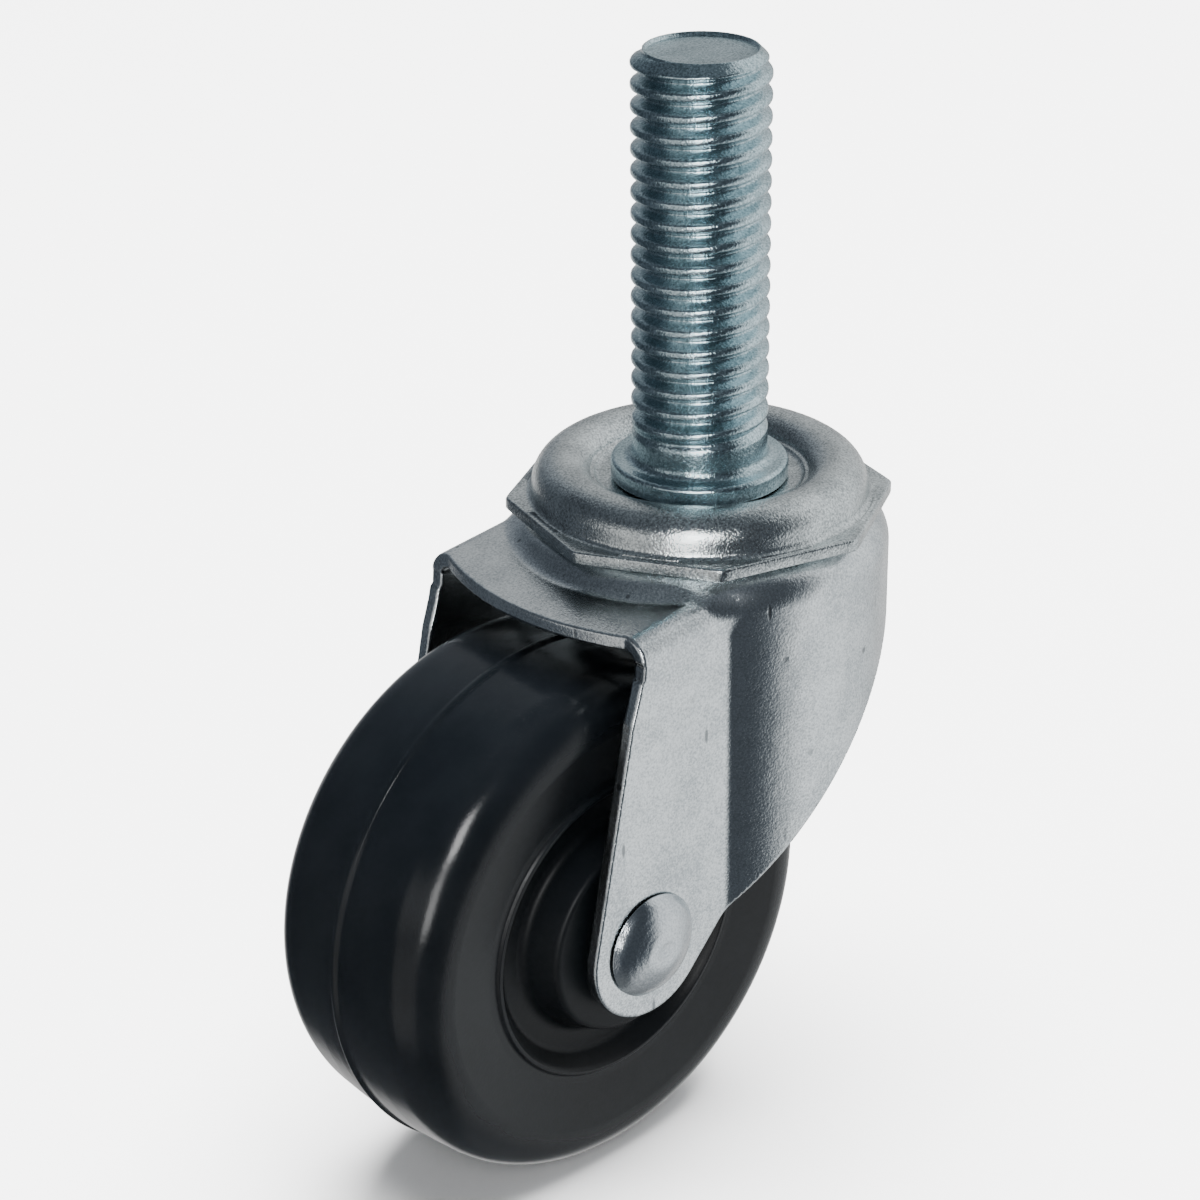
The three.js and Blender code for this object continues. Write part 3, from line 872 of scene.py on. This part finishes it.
def build_world():
    """A studio that is bright on one side, dark on the other and plain to the camera."""
    world = bpy.data.worlds.new("studio")
    bpy.context.scene.world = world
    world.use_nodes = True
    nodes, links = world.node_tree.nodes, world.node_tree.links
    split = nodes.new("ShaderNodeSeparateXYZ")
    outward_ray = nodes.new("ShaderNodeTexCoord").outputs["Generated"]
    links.new(outward_ray, split.inputs[0])
    azimuth = math_node(nodes, links, "ARCTAN2", split.outputs["Y"], split.outputs["X"])
    # The bright side's near edge leans over: it reaches further round low down.
    azimuth = math_node(nodes, links, "SUBTRACT", azimuth,
                        math_node(nodes, links, "MULTIPLY", split.outputs["Z"], SKEW))
    around = ramp(nodes, links, azimuth, -math.pi, math.pi, 0.0, 1.0)
    band = nodes.new("ShaderNodeValToRGB")
    band.color_ramp.interpolation = "EASE"
    stops = band.color_ramp.elements
    for k, (degrees, value) in enumerate(STUDIO):
        where = (degrees + 180) / 360
        stop = stops[k] if k < 2 else stops.new(where)
        stop.position = where
        # The darker it is, the cooler.
        cool = max(0.0, 1 - value / 0.5)
        stop.color = (value * (0.97 - 0.13 * cool), value, value * (1.02 + 0.20 * cool), 1)
    links.new(around, band.inputs["Fac"])
    overhead = ramp(nodes, links, split.outputs["Z"], *OVERHEAD_EDGE, 0.0, 1.0)
    seen = mix_colour(nodes, links, overhead, band.outputs["Color"], OVERHEAD)
    underfoot = ramp(nodes, links, split.outputs["Z"], *UNDERFOOT_EDGE, 0.0, UNDERFOOT_SHARE)
    seen = mix_colour(nodes, links, underfoot, seen, UNDERFOOT)
    level = math_node(nodes, links, "SQRT", math_node(
        nodes, links, "SUBTRACT", 1.0,
        math_node(nodes, links, "MULTIPLY", split.outputs["Z"], split.outputs["Z"])), 0)
    for middle, half, fade, low, high, value in PANELS:
        a = math.radians(middle)
        facing = nodes.new("ShaderNodeVectorMath")
        facing.operation = "DOT_PRODUCT"
        facing.inputs[1].default_value = (math.cos(a), math.sin(a), 0)
        links.new(outward_ray, facing.inputs[0])
        turn = math_node(nodes, links, "DIVIDE", facing.outputs["Value"], level)
        inside = ramp(nodes, links, turn, math.cos(math.radians(half + fade)),
                      math.cos(math.radians(half)), 0.0, 1.0)
        for edge, out in ((low, -PANEL_SOFTNESS), (high, PANEL_SOFTNESS)):
            inside = math_node(nodes, links, "MULTIPLY", inside, ramp(
                nodes, links, split.outputs["Z"], math.sin(math.radians(edge + out)),
                math.sin(math.radians(edge)), 0.0, 1.0))
        seen = mix_colour(nodes, links, inside, seen, (value, value, value))
    camera_ray = nodes.new("ShaderNodeLightPath").outputs["Is Camera Ray"]
    seen = mix_colour(nodes, links, camera_ray, seen, SEEN_BY_CAMERA)
    links.new(seen, nodes["Background"].inputs["Color"])


def build_stage():
    material, nodes, links = new_material("floor_look")
    shader = nodes["Principled BSDF"]
    shader.inputs["Roughness"].default_value = 0.9
    shader.inputs["Specular IOR Level"].default_value = 0.0
    coords = nodes.new("ShaderNodeTexCoord").outputs["Object"]
    cloud = noise(nodes, links, coords, 6, 2, 0.5)
    links.new(mix_colour(nodes, links, cloud, (0.87, 0.87, 0.87), (0.89, 0.89, 0.89)),
              shader.inputs["Base Color"])
    mesh = bpy.data.meshes.new("floor")
    z = FLOOR_Z * MM
    s = TABLE_HALF * MM
    mesh.from_pydata([(-s, -s, z), (s, -s, z), (s, s, z), (-s, s, z)], [], [(0, 1, 2, 3)])
    mesh.materials.append(material)
    floor = bpy.data.objects.new("floor", mesh)
    bpy.context.scene.collection.objects.link(floor)
    floor.visible_glossy = False
    floor.visible_shadow = False
    build_world()
    area_light("front_softbox_top", -136, 26, 0.35, (0.075, 0.11), 19.0, True)
    area_light("front_softbox_low", -142, 3, 0.35, (0.075, 0.13), 7.5, True)
    area_light("overhead", 30, 80, 1.2, (1.2, 1.2), 30.0, False)


# ---------------------------------------------------------------- build
place_camera()

blue_zinc = zinc("blue_zinc_look", (0.66, 0.81, 0.86), (0.24, 0.34, 0.37), 0.16, 1.6, 0.0)
sheet_zinc = zinc("zinc_sheet_look", (0.84, 0.88, 0.89), (0.46, 0.50, 0.52), 0.18, 1.0, 0.9)
plate_zinc = zinc("zinc_plate_look", (0.80, 0.85, 0.85), (0.30, 0.33, 0.34), 0.18, 1.6, 0.5)
rivet_zinc = zinc("zinc_rivet_look", (0.72, 0.76, 0.78), (0.48, 0.52, 0.55), 0.14, 0.7, 0.5)
ball_steel = steel("bearing_steel_look", (0.70, 0.70, 0.71), 0.12)
bush_steel = steel("bush_steel_look", (0.55, 0.55, 0.56), 0.35)
black_rubber = rubber()
fork_voxel = FORK_VOXEL

PIECES = (
    (stem_piece(blue_zinc), "stem_group", "threaded_stem", "blue_zinc"),
    (plate_piece(plate_zinc), "stem_group", "top_race", "zinc_sheet"),
    (lower_race_piece(plate_zinc), "stem_group", "lower_race", "zinc_sheet"),
    (from_distance("fork_sheet", "fork", fork_distance, fork_voxel, sheet_zinc),
     "fork_group", "fork", "zinc_sheet"),
    (rivet_piece(rivet_zinc), "fork_group", "axle_rivet", "zinc_rivet"),
    (bush_piece(bush_steel), "fork_group", "axle_bush", "plain_steel"),
    (wheel_piece(black_rubber), "wheel_group", "wheel", "black_rubber"),
)
for piece, body, node, slot in PIECES:
    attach(piece, body)
    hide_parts(node)

RINGS = (("upper_ball", 18, "upper_ball_ring"), ("lower_ball", 11, "lower_ball_ring"))
for prefix, count, body in RINGS:
    for i in range(1, count + 1):
        node = f"{prefix}_{i:02d}"
        ball = ball_piece("bearing_" + node, node, ball_steel)
        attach(ball, body)
        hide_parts(node)

build_stage()
